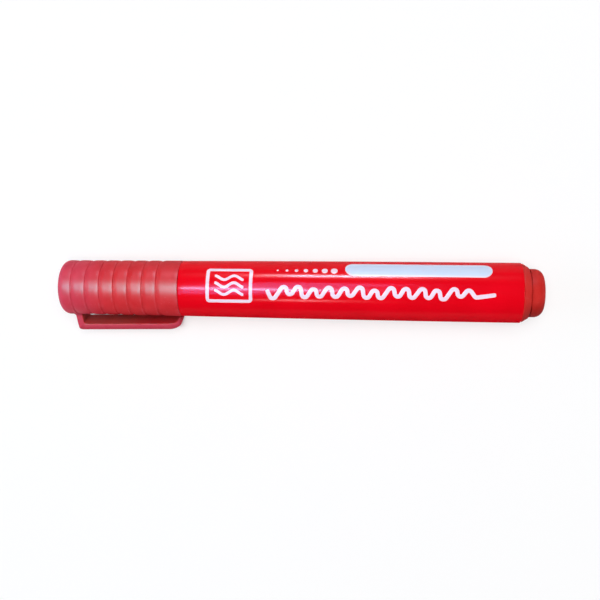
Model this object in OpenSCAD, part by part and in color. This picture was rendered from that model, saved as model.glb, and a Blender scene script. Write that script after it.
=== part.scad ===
// Permanent marker with a pull-off clip cap.
// Each piece is drawn upright: Z runs along the marker, from the closed end of the cap to the tail.
// lay_down() then lays the marker on the table along X, rolled until the clip touches the table.

/* [Cap] */
// Length of the cap
cap_len = 35; // [34.5:0.1:36]
// Diameter over the grip rings, at the rim
cap_rim_d = 16; // [15.8:0.1:16.4]
// Diameter over the grip rings, at the closed end
cap_end_d = 15.6; // [15.4:0.05:16]
// Radius of the edge round the closed end
cap_edge_r = 2.2; // [1.6:0.1:2.3]
// Thickness of the closed end
cap_end_wall = 1.8; // [1.4:0.1:2]
// Bore that slides over the nib holder
cap_bore_d = 13.6; // [13.54:0.02:13.68]
// Bore of the vent chamber behind the sliding bore
cap_chamber_d = 13.2; // [12.8:0.1:13.4]
// Recess in the rim that covers the flange of the nib holder
rim_recess_d = 14.8; // [14.7:0.1:15]
// Gap left between the rim and the barrel
rim_gap = 0.2; // [0.15:0.05:0.4]

/* [Grip rings] */
// Number of grooves between the rings
groove_count = 7; // [3:1:7]
// Distance from the closed end to the first groove
groove_start = 4.3; // [3.8:0.05:4.5]
// Distance between grooves
groove_pitch = 4.11; // [3.6:0.01:4.3]
// Depth of a groove
groove_depth = 0.36; // [0.2:0.02:0.5]
// Length of the steep side, which the fingers pull on
groove_drop = 0.35; // [0.2:0.05:0.6]
// Length of the gentle side
groove_ramp = 1.3; // [0.6:0.1:2]

/* [Cap vents] */
// Number of air holes in the closed end, and of fins that hold the liner
vent_count = 4; // [3:1:5]
// Diameter of an air hole
vent_d = 2; // [1.4:0.1:2.2]
// Circle that the air holes lie on
vent_circle_d = 6.4; // [6:0.1:7]
// Thickness of a fin
fin_t = 0.9; // [0.7:0.1:1.2]
// Length of the fins
fin_len = 13; // [9:0.5:15]
// Height of the ledge on the fins that the liner sits on
ledge_len = 2; // [1.5:0.1:2.5]

/* [Clip] */
// Width of the clip
clip_w = 5.5; // [4.6:0.1:6]
// Thickness of the clip
clip_t = 2.1; // [1.6:0.1:2.4]
// Distance from the marker's axis to the outer face, at the root
clip_root_reach = 13.1; // [12.6:0.05:13.4]
// Distance from the marker's axis to the outer face, where the tip starts
clip_tip_reach = 12.5; // [12.2:0.05:12.6]
// Where the root starts, from the closed end
clip_start = 2.8; // [2.7:0.1:3.2]
// How far the root leans towards the rim as it rises
clip_lean = 0.25; // [0:0.05:1]
// Thickness of the root
clip_root_t = 2; // [1.6:0.1:2.4]
// Radius of the fillets between the root and the cap
clip_fillet = 0.4; // [0.2:0.1:0.5]
// How far the tip ends short of the rim
clip_short = 0.5; // [0.3:0.1:1.5]
// Length of the curved tip
clip_tip_len = 4.4; // [3.5:0.1:5]
// Gap between the tip's nose and the cap
clip_nose_gap = 0.35; // [0.3:0.05:0.6]

/* [Cap liner] */
// Outer diameter of the sealing cup
liner_d = 9.7; // [9.5:0.1:9.9]
// Bore of the sealing cup, which closes on the neck
liner_bore_d = 8; // [7.98:0.01:8.06]
// Depth of the sealing cup inside
liner_depth = 14.8; // [14:0.1:15.2]
// Thickness of its closed end
liner_end_t = 1; // [0.8:0.1:1.2]

/* [Barrel] */
// Length of the barrel
barrel_len = 95.6; // [90:0.2:102]
// Diameter at the cap
barrel_front_d = 15.9; // [15.7:0.1:16.2]
// Diameter at the tail
barrel_tail_d = 16.8; // [16.5:0.1:17]
// Bore that grips the nib holder
barrel_front_bore_d = 13; // [12.9:0.02:13.06]
// Bore behind it
barrel_bore_d = 13.8; // [13.6:0.1:14]
// Number of inner ribs that centre the ink reservoir
barrel_rib_count = 6; // [3:1:8]
// Thickness of an inner rib
barrel_rib_t = 0.8; // [0.6:0.1:1]

/* [Nib holder] */
// Gap between the nib's tip and the bottom of the liner
nib_room = 4.8; // [4.6:0.1:5]
// Length of nib outside the holder
nib_out = 6; // [5.5:0.1:6.4]
// Diameter of the neck
neck_d = 7.7; // [7.5:0.1:7.8]
// Length of the neck
neck_len = 5.2; // [4.8:0.1:5.6]
// Length of the shoulder cone
cone_len = 4.4; // [3.5:0.1:4.8]
// Diameter of the seat inside the cap
seat_d = 13.1; // [12.9:0.1:13.2]
// Radial play of the seat's beads in the cap, and of the neck's bead in the liner
bead_play = 0.05; // [0.04:0.01:0.08]
// Diameter of the flange that stops the holder on the barrel
flange_d = 14.4; // [14:0.1:14.5]
// Thickness of the flange
flange_t = 1; // [0.8:0.1:1.2]
// Length of the plug pressed into the barrel
insert_len = 9; // [7:0.5:10]

/* [Nib] */
// Diameter of the fibre nib
nib_d = 4.96; // [4.6:0.02:4.98]
// Radius of the nib's point
nib_point_r = 1; // [0.7:0.1:1.3]
// Length of the rounded point
nib_point_len = 3.6; // [3:0.1:4.5]
// How far the nib reaches into the ink reservoir
nib_into = 6; // [4:0.5:10]

/* [Ink reservoir] */
// Diameter of the fibre core
reservoir_d = 11.9; // [11.4:0.1:12]
// Thickness of the film round it
film_t = 0.1; // [0.05:0.01:0.12]

/* [Tail plug] */
// Length of the bevelled collar
collar_len = 2; // [1.8:0.1:2.8]
// Diameter at the small end of the collar
collar_d = 14.3; // [14.1:0.1:14.6]
// Diameter of the peg, which takes the cap while writing
peg_d = 13.5; // [13.2:0.02:13.54]
// Length of the peg
peg_len = 4.2; // [3.6:0.1:5]
// Radius of the edge round the peg's end
peg_edge_r = 2.6; // [1.4:0.1:2.8]
// Length of the plug pressed into the barrel
plug_len = 12; // [9:0.5:14]
// Wall of the plug
plug_wall = 1.2; // [1:0.1:1.6]

/* [Hidden] */
$fn = 96;

// Overlap that joins two shapes of one piece
bite = 0.3;
// Steps in a small round edge
round_steps = 6;
// Small bevel on a moulded edge
bevel = 0.25;
// Height and spacing of the rings that grip in a pressed joint
grip_relief = 0.1;
grip_pitch = 2.6;
grip_width = 1.2;

// Places along the marker
barrel_z = cap_len + rim_gap;
tail_z = barrel_z + barrel_len;
collar_z = tail_z + collar_len;
marker_len = collar_z + peg_len;
liner_z = cap_end_wall + ledge_len;
liner_floor_z = liner_z + liner_end_t;
liner_mouth_z = liner_floor_z + liner_depth;
nib_z = liner_floor_z + nib_room;
neck_z = nib_z + nib_out;
cone_z = neck_z + neck_len;
seat_z = cone_z + cone_len;
flange_z = barrel_z - flange_t;
insert_end_z = barrel_z + insert_len;
plug_z = tail_z - plug_len;
nib_end_z = insert_end_z + nib_into;
nib_len = nib_end_z - nib_z;

// Lying on the table: the barrel's tail and the clip's lower edge both touch it
clip_round = 0.5;
clip_arm = clip_root_reach - clip_round;
clip_half = clip_w / 2 - clip_round;
axis_z = barrel_tail_d / 2;
clip_dip = asin((axis_z - clip_round) / norm([clip_arm, clip_half])) - atan(clip_half / clip_arm);
clip_side_reach = clip_arm * cos(clip_dip) + clip_half * sin(clip_dip) + clip_round;
axis_y = (clip_side_reach - barrel_tail_d / 2) / 2;

// Points of an arc, or of an ellipse if ry is given, from angle a0 to a1
function arc(centre, rx, a0, a1, ry = 0, steps = round_steps) =
    [for (i = [0:steps])
        let (a = a0 + (a1 - a0) * i / steps)
            [centre.x + rx * cos(a), centre.y + (ry == 0 ? rx : ry) * sin(a)]];

// Outer radius of the cap over its rings, which follows a slight draft
function cap_r(z) = (cap_end_d + (cap_rim_d - cap_end_d) * z / cap_len) / 2;

// One groove: a steep drop, then a gentle rounded rise to the next ring
function groove(z) = [
    [cap_r(z), z - groove_drop],
    [cap_r(z) - 0.2 * groove_depth, z - 0.6 * groove_drop],
    [cap_r(z) - groove_depth, z],
    [cap_r(z) - 0.35 * groove_depth, z + 0.5 * groove_ramp],
    [cap_r(z), z + groove_ramp]
];

// Outer radius of the barrel, which swells in a parabola from the cap to the tail
function barrel_r(z) =
    (barrel_tail_d - (barrel_tail_d - barrel_front_d) * pow((tail_z - z) / barrel_len, 2)) / 2;

// A low round bead on a wall of radius r, reaching out to top_r
function bead(r, top_r, z, half) = [
    [r, z - half],
    [top_r, z - half / 3],
    [top_r, z + half / 3],
    [r, z + half]
];

// Rings that grip a bore of radius r, from z0 on, count times
function grip_rings(r, z0, count) = [
    for (i = [0:count - 1])
        let (z = z0 + i * grip_pitch)
            each [
                [r - grip_relief, z],
                [r, z + grip_relief],
                [r, z + grip_width - grip_relief],
                [r - grip_relief, z + grip_width]
            ]
];

module lay_down() {
    translate([-marker_len / 2, axis_y, axis_z])
        rotate([clip_dip - 90, 0, 0])
            rotate([0, 90, 0])
                children();
}

module spin(points) {
    rotate_extrude() polygon(points);
}

// Count copies round the axis, the first one turned by start
module ring_of(count, start = 0) {
    for (i = [0:count - 1])
        rotate([0, 0, start + 360 * i / count]) children();
}

// The clip is the overlap of its side view, its plan and its cross-section
module clip_side_view() {
    lean = atan(clip_lean / (clip_root_reach - cap_rim_d / 2));
    wall_r = cap_r(clip_start);
    root_r = wall_r - 3 * bite;
    end_z = cap_len - clip_short;
    bend_z = end_z - clip_tip_len;
    nose_r = 0.6;
    nose = [cap_rim_d / 2 + clip_nose_gap + nose_r, end_z - nose_r];
    corner_r = 0.8;
    ramp_turn = 206;
    tip_t = 1.5;
    tip_turn = 70;
    function front(r) = clip_start + (r - cap_rim_d / 2) * tan(lean);
    function back(r) = front(r) + clip_root_t / cos(lean);
    outer = clip_root_reach - corner_r;
    inner = clip_root_reach - clip_t - corner_r;
    fillet_x = wall_r + clip_fillet;
    front_fillet = [fillet_x, front(wall_r) - clip_fillet * tan(45 - lean / 2)];
    back_fillet = [fillet_x, back(wall_r) + clip_fillet * tan(45 + lean / 2)];
    polygon(concat(
        [[root_r, front_fillet.y]],
        arc(front_fillet, clip_fillet, 180, 90 + lean),
        arc([outer, front(outer) + corner_r / cos(lean)], corner_r, lean - 90, 0),
        arc([nose.x, bend_z], clip_tip_reach - nose.x, 0, 90, clip_tip_len, 2 * round_steps),
        arc(nose, nose_r, 90, ramp_turn),
        arc([nose.x, bend_z], clip_tip_reach - clip_t - nose.x, tip_turn, 0, clip_tip_len - tip_t),
        arc([inner, back(inner) + corner_r / cos(lean)], corner_r, 0, lean - 90),
        arc(back_fillet, clip_fillet, lean - 90, -180),
        [[root_r, back_fillet.y]]
    ));
}

module clip_plan() {
    corner_r = 1.4;
    end_z = cap_len - clip_short;
    polygon(concat(
        [[-clip_w / 2, 0], [clip_w / 2, 0]],
        arc([clip_w / 2 - corner_r, end_z - corner_r], corner_r, 0, 90),
        arc([corner_r - clip_w / 2, end_z - corner_r], corner_r, 90, 180)
    ));
}

module clip_section() {
    polygon(concat(
        [[0, -clip_w / 2]],
        arc([clip_arm, -clip_half], clip_round, -90, 0),
        arc([clip_arm, clip_half], clip_round, 0, 90),
        [[0, clip_w / 2]]
    ));
}

module clip() {
    slope = atan((clip_root_reach - clip_tip_reach) / (cap_len - clip_tip_len - clip_start));
    level_z = clip_start + clip_lean;
    intersection() {
        rotate([90, 0, 0])
            linear_extrude(height = 2 * clip_w, center = true)
                clip_side_view();
        rotate([90, 0, 90])
            linear_extrude(height = 2 * clip_root_reach)
                clip_plan();
        translate([0, 0, level_z])
            rotate([0, -slope, 0])
                translate([0, 0, -2 * level_z])
                    linear_extrude(height = 2 * cap_len)
                        clip_section();
    }
}

module cap_shell() {
    rim_chamfer = 0.4;
    step_z = liner_mouth_z;
    recess_z = flange_z - bevel;
    spin(concat(
        [[0, 0]],
        arc([cap_r(0) - cap_edge_r, cap_edge_r], cap_edge_r, -90, 0),
        [for (i = [0:groove_count - 1]) each groove(groove_start + i * groove_pitch)],
        [
            [cap_rim_d / 2, cap_len - bevel],
            [cap_rim_d / 2 - bevel, cap_len],
            [rim_recess_d / 2, cap_len],
            [rim_recess_d / 2, recess_z],
            [cap_bore_d / 2 + rim_chamfer, recess_z],
            [cap_bore_d / 2, recess_z - rim_chamfer],
            [cap_bore_d / 2, step_z],
            [cap_chamber_d / 2, step_z - rim_chamfer],
            [cap_chamber_d / 2, cap_end_wall],
            [0, cap_end_wall]
        ]
    ));
}

// A fin stands on the closed end, holds the side of the liner and carries it on a ledge
module liner_fin() {
    ledge_in = 1.4;
    fin_top_z = cap_end_wall + fin_len;
    liner_r = liner_d / 2;
    wall_r = cap_chamber_d / 2 + bite;
    rotate([90, 0, 0])
        linear_extrude(height = fin_t, center = true)
            polygon([
                [liner_r - ledge_in, cap_end_wall - bite],
                [wall_r, cap_end_wall - bite],
                [wall_r, fin_top_z],
                [liner_r + ledge_in / 2, fin_top_z],
                [liner_r, fin_top_z - ledge_in],
                [liner_r, liner_z],
                [liner_r - ledge_in, liner_z]
            ]);
}

module cap() {
    color([0.80, 0.24, 0.28])
        lay_down() {
            difference() {
                union() {
                    cap_shell();
                    clip();
                    ring_of(vent_count) liner_fin();
                }
                ring_of(vent_count, 180 / vent_count)
                    translate([vent_circle_d / 2, 0, -cap_end_wall])
                        cylinder(d = vent_d, h = 3 * cap_end_wall);
            }
        }
}

module cap_liner() {
    lip = 0.4;
    color([0.93, 0.91, 0.88])
        lay_down()
            spin([
                [0, liner_z],
                [liner_d / 2 - lip, liner_z],
                [liner_d / 2, liner_z + lip],
                [liner_d / 2, liner_mouth_z - lip],
                [liner_d / 2 - bevel, liner_mouth_z],
                [liner_bore_d / 2 + lip, liner_mouth_z],
                [liner_bore_d / 2, liner_mouth_z - 2 * lip],
                [liner_bore_d / 2, liner_floor_z],
                [0, liner_floor_z]
            ]);
}

module barrel_shell() {
    swell_steps = 18;
    first_z = barrel_z + bevel;
    last_z = tail_z - bevel;
    grip_z = insert_end_z + 1;
    open_z = grip_z + 2;
    spin(concat(
        [[barrel_front_bore_d / 2, barrel_z], [barrel_front_d / 2 - bevel, barrel_z]],
        [for (i = [0:swell_steps])
            let (z = first_z + (last_z - first_z) * i / swell_steps)
                [barrel_r(z), z]],
        [
            [barrel_tail_d / 2 - bevel, tail_z],
            [barrel_bore_d / 2, tail_z],
            [barrel_bore_d / 2, open_z],
            [barrel_front_bore_d / 2, grip_z]
        ]
    ));
}

module barrel() {
    rib_play = 0.05;
    rib_z0 = insert_end_z + 4;
    rib_z1 = plug_z - 2;
    rib_r = reservoir_d / 2 + film_t + rib_play;
    color([0.90, 0.03, 0.10])
        lay_down() {
            barrel_shell();
            ring_of(barrel_rib_count)
                translate([rib_r, -barrel_rib_t / 2, rib_z0])
                    cube([barrel_bore_d / 2 + bite - rib_r, barrel_rib_t, rib_z1 - rib_z0]);
        }
}

module nib_holder() {
    bore_r = nib_d / 2 + 0.02;
    chamber_r = 5.3;
    chamber_z = seat_z + 3;
    throat_z = cone_z + 3;
    bead_half = 0.7;
    shoulder = 0.6;
    seat_r = seat_d / 2;
    bead_r = cap_bore_d / 2 - bead_play;
    seal_r = liner_bore_d / 2 - bead_play;
    insert_r = barrel_front_bore_d / 2;
    flute_w = 0.8;
    flute_depth = 0.5;
    flute_count = 4;
    color([0.78, 0.20, 0.20])
        lay_down()
            difference() {
                spin(concat(
                    [[bore_r + bevel, neck_z], [neck_d / 2 - shoulder, neck_z]],
                    [[neck_d / 2, neck_z + shoulder]],
                    bead(neck_d / 2, seal_r, neck_z + neck_len / 2 - bead_half, bead_half),
                    [[neck_d / 2, cone_z], [neck_d / 2 + shoulder, cone_z]],
                    [[seat_r - bevel, seat_z], [seat_r, seat_z + bevel]],
                    bead(seat_r, bead_r, seat_z + 2, bead_half),
                    bead(seat_r, bead_r, flange_z - 2, bead_half),
                    [[seat_r, flange_z], [flange_d / 2 - bevel, flange_z], [flange_d / 2, flange_z + bevel]],
                    [[flange_d / 2, barrel_z], [insert_r - grip_relief, barrel_z]],
                    grip_rings(insert_r, barrel_z + bevel, 3),
                    [[insert_r - grip_relief, insert_end_z - shoulder], [insert_r - shoulder, insert_end_z]],
                    [[chamber_r, insert_end_z], [chamber_r, chamber_z], [bore_r + shoulder, throat_z]],
                    [[bore_r, throat_z], [bore_r, neck_z + bevel]]
                ));
                ring_of(flute_count, 45)
                    translate([0, -flute_w / 2, neck_z - bevel])
                        cube([bore_r + flute_depth, flute_w, throat_z - neck_z + 2 * bevel]);
            }
}

// A rod with a bullet point: a round tip, then a curve that leaves it at its own slope
// and runs into the side of the rod
module nib() {
    r = nib_d / 2;
    tip_turn = 60;
    point_steps = 8;
    tail_taper = 1.6;
    start = [nib_point_r * sin(tip_turn), nib_point_r * (1 - cos(tip_turn))];
    aim = [r, start.y + (r - start.x) * tan(tip_turn)];
    side = [r, nib_point_len];
    color([0.66, 0.05, 0.10])
        lay_down()
            translate([0, 0, nib_z])
                spin(concat(
                    arc([0, nib_point_r], nib_point_r, -90, tip_turn - 90),
                    [for (i = [1:point_steps])
                        let (f = i / point_steps)
                            pow(1 - f, 2) * start + 2 * f * (1 - f) * aim + f * f * side],
                    [[r, nib_len - tail_taper], [r / 3, nib_len], [0, nib_len]]
                ));
}

module ink_reservoir() {
    hole_r = nib_d / 2 + 0.02;
    hole_z = nib_end_z + 0.2;
    color([0.72, 0.16, 0.20])
        lay_down()
            spin([
                [hole_r, insert_end_z],
                [reservoir_d / 2, insert_end_z],
                [reservoir_d / 2, plug_z],
                [0, plug_z],
                [0, hole_z],
                [hole_r, hole_z]
            ]);
}

module reservoir_sleeve() {
    film_short = 0.4;
    color([0.92, 0.85, 0.86, 0.5])
        lay_down()
            spin([
                [reservoir_d / 2, insert_end_z + film_short],
                [reservoir_d / 2 + film_t, insert_end_z + film_short],
                [reservoir_d / 2 + film_t, plug_z - film_short],
                [reservoir_d / 2, plug_z - film_short]
            ]);
}

module tail_plug() {
    skirt_r = barrel_bore_d / 2;
    hollow_r = skirt_r - grip_relief - plug_wall;
    peg_r = peg_d / 2;
    peg_hollow_r = peg_r - plug_wall;
    end_wall = 1.5 * plug_wall;
    hollow_bevel = peg_edge_r / 3;
    land = 0.4;
    undercut = 0.3;
    notch_w = 2;
    notch_depth = 2.4;
    notch_count = 4;
    color([0.78, 0.20, 0.18])
        lay_down()
            difference() {
                spin(concat(
                    [[hollow_r, plug_z], [skirt_r - plug_wall / 2, plug_z]],
                    [[skirt_r - grip_relief, plug_z + plug_wall]],
                    grip_rings(skirt_r, plug_z + plug_wall + grip_relief, 4),
                    [[skirt_r - grip_relief, tail_z], [barrel_tail_d / 2 - bevel, tail_z]],
                    [[barrel_tail_d / 2 - bevel, tail_z + land], [collar_d / 2, collar_z]],
                    [[peg_r - undercut, collar_z], [peg_r - undercut, collar_z + undercut]],
                    [[peg_r, collar_z + undercut]],
                    arc([peg_r - peg_edge_r, marker_len - peg_edge_r], peg_edge_r, 0, 90),
                    [[0, marker_len], [0, marker_len - end_wall]],
                    [[peg_hollow_r - hollow_bevel, marker_len - end_wall]],
                    [[peg_hollow_r, marker_len - end_wall - hollow_bevel]],
                    [[peg_hollow_r, tail_z], [hollow_r, tail_z - bevel]]
                ));
                ring_of(notch_count, 45)
                    translate([0, -notch_w / 2, plug_z - bevel])
                        cube([barrel_bore_d, notch_w, notch_depth + bevel]);
            }
}

cap();
cap_liner();
barrel();
nib_holder();
nib();
ink_reservoir();
reservoir_sleeve();
tail_plug();
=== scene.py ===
from math import hypot, pi, radians, tan
import bmesh
import bpy
import numpy as np
from mathutils import Matrix, Quaternion, Vector


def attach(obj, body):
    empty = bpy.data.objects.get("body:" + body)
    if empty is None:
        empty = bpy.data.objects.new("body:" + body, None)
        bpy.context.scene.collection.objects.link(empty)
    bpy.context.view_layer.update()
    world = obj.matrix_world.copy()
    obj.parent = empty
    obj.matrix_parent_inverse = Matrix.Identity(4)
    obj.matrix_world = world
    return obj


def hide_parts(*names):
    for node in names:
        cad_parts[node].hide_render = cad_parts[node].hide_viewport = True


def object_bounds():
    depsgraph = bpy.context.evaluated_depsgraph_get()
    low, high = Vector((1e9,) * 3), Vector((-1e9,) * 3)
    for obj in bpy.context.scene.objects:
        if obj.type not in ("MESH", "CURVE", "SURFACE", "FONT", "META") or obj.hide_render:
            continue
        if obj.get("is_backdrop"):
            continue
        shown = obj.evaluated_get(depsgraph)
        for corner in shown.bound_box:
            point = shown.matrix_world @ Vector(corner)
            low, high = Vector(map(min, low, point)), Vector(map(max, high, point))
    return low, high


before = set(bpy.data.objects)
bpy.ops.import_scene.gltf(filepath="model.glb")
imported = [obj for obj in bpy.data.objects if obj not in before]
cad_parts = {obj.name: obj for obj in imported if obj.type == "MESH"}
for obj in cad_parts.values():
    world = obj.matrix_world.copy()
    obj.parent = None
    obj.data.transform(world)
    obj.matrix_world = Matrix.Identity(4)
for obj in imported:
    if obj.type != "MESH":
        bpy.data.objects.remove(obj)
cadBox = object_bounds()
scene = bpy.context.scene
scene.view_settings.view_transform = "Standard"

millimetre = 0.001  # the sizes of pieces are in millimetres, those of the stage in metres
creaseAngle = 35  # edges that turn by more degrees stay sharp
# how the marker lies: along counts from the cap's closed end, turns from the clip; the dip is in degrees
lie = dict(half=68.5, axisY=2.14111, axisZ=8.4, dip=27.98877)


def place(along, radius, turn):
    # x is the way along; y and z are the axis plus the radius, turned round it
    a = turn + radians(lie["dip"] - 180)
    y = lie["axisY"] + radius * np.cos(a)
    z = lie["axisZ"] + radius * np.sin(a)
    return millimetre * np.stack(np.broadcast_arrays(along - lie["half"], y, z), -1)


def placeFlat(along, out, side):
    # out goes from the axis towards the clip, side across it
    return place(along, np.hypot(out, side), np.arctan2(side, out))


def around(count):
    # turns spaced evenly once round
    return np.arange(count) * 2 * pi / count


def signed(turns):
    # the same turns, from minus half a circle to plus half
    return (turns + pi) % (2 * pi) - pi


def smooth(t):
    # 0 to 1 with level ends: 3 t squared minus 2 t cubed
    t = np.clip(t, 0, 1)
    return t * t * (3 - 2 * t)


def fadeIn(value, start, length):
    # 0 up to the start, and 1 a length later
    return smooth((value - start) / length)


def bell(distance, width):
    # 1 in the middle: e to the power of minus the squared distance over the width
    return np.exp(-(distance / width) ** 2)


def unit(v):
    # each row over its length
    return v / np.maximum(np.linalg.norm(v, axis=1, keepdims=True), 1e-9)


def rightOf(v):
    # each row's direction after a quarter turn clockwise
    return unit(np.stack([v[:, 1], -v[:, 0]], -1))


def add(name, data):
    # a new object, linked to the scene
    piece = bpy.data.objects.new(name, data)
    scene.collection.objects.link(piece)
    return piece


def skin(name, grid, ends="pole", marks=None, crease=creaseAngle):
    # each cell of a grid is a quad: rows run along the piece and columns close round it. The end rows become
    # one point ("pole"), one face ("face") or meet each other ("loop"). A grid may hold several copies.
    # The sign of the volume says which way the faces point
    grid = grid.reshape((-1,) + grid.shape[-3:])
    copies, rows, cols = grid.shape[:3]
    number = np.arange(copies * rows * cols).reshape(copies, rows, cols)
    if ends == "pole":
        number[:, 0] = number[:, 0, :1]
        number[:, -1] = number[:, -1, :1]
    used, number = np.unique(number, return_inverse=True)
    number = number.reshape(copies, rows, cols)
    points = grid.reshape(-1, 3)[used]
    ring = np.concatenate([number, number[:, :, :1]], 2)
    if ends == "loop":
        ring = np.concatenate([ring, ring[:, :1]], 1)
    here, ahead = ring[:, :-1], ring[:, 1:]
    quads = np.stack([here[..., :-1], ahead[..., :-1], ahead[..., 1:], here[..., 1:]], -1).reshape(-1, 4)
    a, b, c, d = (points - points.mean(0))[quads].transpose(1, 0, 2)
    if np.sum(a * np.cross(b, c)) + np.sum(a * np.cross(c, d)) < 0:
        turned = {key: np.broadcast_to(value, (rows, cols))[:, ::-1] for key, value in (marks or {}).items()}
        return skin(name, grid[:, :, ::-1], ends, turned, crease)
    first, last = quads[:, 0] == quads[:, 3], quads[:, 1] == quads[:, 2]  # triangles at a pole
    faces = quads[~(first | last)].tolist()
    faces += quads[first][:, :3].tolist() + quads[last][:, [0, 1, 3]].tolist()
    if ends == "face":
        faces += number[:, 0].tolist() + number[:, -1, ::-1].tolist()
    mesh = bpy.data.meshes.new(name)
    mesh.from_pydata(points.tolist(), [], faces)
    for key, value in (marks or {}).items():
        flat = np.broadcast_to(value, (copies, rows, cols)).reshape(-1)[used]
        mesh.attributes.new(key, "FLOAT", "POINT").data.foreach_set("value", flat.astype(np.float32))
    mesh.shade_smooth()
    mesh.set_sharp_from_angle(angle=radians(crease))
    return add(name, mesh)


def rounded(corners, steps):
    # a corner (x, y, fillet) is cut back by fillet / tan(half its angle) both ways, and an arc about the
    # point fillet / sin(half) down its bisector joins the two cuts
    corner = np.array(corners, float)
    p, r = corner[:, :2], corner[:, 2:]
    back, ahead = unit(np.roll(p, 1, 0) - p), unit(np.roll(p, -1, 0) - p)
    half = np.arccos(np.clip(np.sum(back * ahead, 1, keepdims=True), -1, 1)) / 2
    half = np.clip(half, 0.02, pi / 2 - 0.002)  # never quite folded, never quite straight
    centre = p + unit(back + ahead) * r / np.sin(half)
    start = p + back * r / np.tan(half) - centre
    end = p + ahead * r / np.tan(half) - centre
    f, sweep = np.linspace(0, 1, steps + 1)[None, :, None], (pi - 2 * half)[:, None]
    arcs = np.sin((1 - f) * sweep) * start[:, None] + np.sin(f * sweep) * end[:, None]
    line = (arcs / np.sin(sweep) + centre[:, None]).reshape(-1, 2)
    apart = np.linalg.norm(np.diff(line, axis=0), axis=1) > 1e-5  # no point comes twice
    return line[np.hstack([[True], apart])]


def lathe(name, line, count, ends="pole", marks=None, crease=creaseAngle):
    # a profile (along, radius) turned once round the axis
    return skin(name, place(line[:, :1], line[:, 1:], around(count)[None, :]), ends, marks, crease)


def spaced(path, count, endpoint=True):
    # points spaced evenly by arc length on a polyline
    way = np.hstack([[0], np.cumsum(np.linalg.norm(np.diff(path, axis=0), axis=1))])
    t = np.linspace(0, way[-1], count, endpoint=endpoint)
    return np.stack([np.interp(t, way, path[:, 0]), np.interp(t, way, path[:, 1])], -1)


def even(path, step, closed=False):
    # points about a step apart on a polyline, how far along each is, and the length
    path = np.vstack([path, path[:1]]) if closed else path
    length = np.sum(np.linalg.norm(np.diff(path, axis=0), axis=1))
    count = max(8, int(length / step))
    return spaced(path, count, not closed), np.linspace(0, length, count, endpoint=not closed), length


def outward(p):
    # the outer side of a closed outline, square to the chord between each point's two neighbours
    side = rightOf(np.roll(p, -1, 0) - np.roll(p, 1, 0))
    return side * np.sign(np.sum(p[:, 0] * np.roll(p[:, 1], -1) - np.roll(p[:, 0], -1) * p[:, 1]))


class Wire:
    # a socket with operators: a sum or product of values adds a Math node, and node() adds any other
    def __init__(self, tree, socket=None):
        self.tree, self.socket = tree, socket

    def node(self, kind, settings=None, sockets=None, out=0):
        made = self.tree.nodes.new("ShaderNode" + kind)
        for key, value in (settings or {}).items():
            setattr(made, key, value)
        for key, value in (sockets or {}).items():
            socket = made.inputs[key]
            if isinstance(value, Wire):
                self.tree.links.new(value.socket, socket)
            else:
                socket.default_value = (*value, 1.0) if socket.type == "RGBA" else value
        return Wire(self.tree, made.outputs[out])

    def calc(self, operation, *values):
        return self.node("Math", {"operation": operation}, dict(enumerate(values)))

    def __add__(self, other):
        return self.calc("ADD", self, other)

    def __sub__(self, other):
        return self.calc("SUBTRACT", self, other)

    def __rsub__(self, other):
        return self.calc("SUBTRACT", other, self)

    def __mul__(self, other):
        return self.calc("MULTIPLY", self, other)

    __radd__, __rmul__ = __add__, __mul__

    def mix(self, a, b):
        # this value, from 0 to 1, goes from colour a to colour b
        return self.node("Mix", {"data_type": "RGBA"}, {0: self, 6: a, 7: b}, 2)

    def span(self, low, high):
        # low..high becomes 0..1 with level ends
        return self.node("MapRange", {"interpolation_type": "SMOOTHSTEP"},
                         {"Value": self, "From Min": low, "From Max": high})

    def noise(self, scale, detail, rough=0.55):
        # this vector through a noise with so many features to its unit
        return self.node("TexNoise", {},
                         {"Vector": self, "Scale": scale, "Detail": detail, "Roughness": rough})

    def patches(self, scale, detail, low, high, rough=0.55):
        # the places where a noise rises from low to high
        return self.noise(scale, detail, rough).span(low, high)

    def stretch(self, *by):
        return self.node("VectorMath", {"operation": "MULTIPLY"}, {0: self, 1: by})

    def mark(self, name):
        return self.node("Attribute", {"attribute_name": name}, out="Fac")

    def bump(self, strength, distance):
        return self.node("Bump", {}, {"Height": self, "Strength": strength, "Distance": distance})


def total(weights, *wires):
    # the first weight, plus each wire times its own
    made = weights[0]
    for weight, wire in zip(weights[1:], wires):
        made = wire * weight + made
    return made


def finish(name, paint, settings):
    # a shader: paint(millimetres, settings) gives its varying sockets, and the fixed ones are set directly
    material = bpy.data.materials.new(name)
    material.use_nodes = True
    tree = material.node_tree
    shader = tree.nodes["Principled BSDF"]
    spot = Wire(tree).node("TexCoord", out="Object")
    mm = spot.node("VectorMath", {"operation": "SCALE"}, {0: spot, "Scale": 1 / millimetre})
    for key, value in settings.get("fixed", {}).items():
        shader.inputs[key].default_value = value
    for key, wire in paint(mm, settings).items():
        tree.links.new(wire.socket, shader.inputs[key])
    return material


# In the finishes a noise is (features a millimetre, detail), patches add their low and high, and either may
# end with its roughness. A bump is (strength, metres). Rough, gloss, relief and tints of several numbers are
# weights for total(). The gloss of the plastics is in their coat alone

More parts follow.
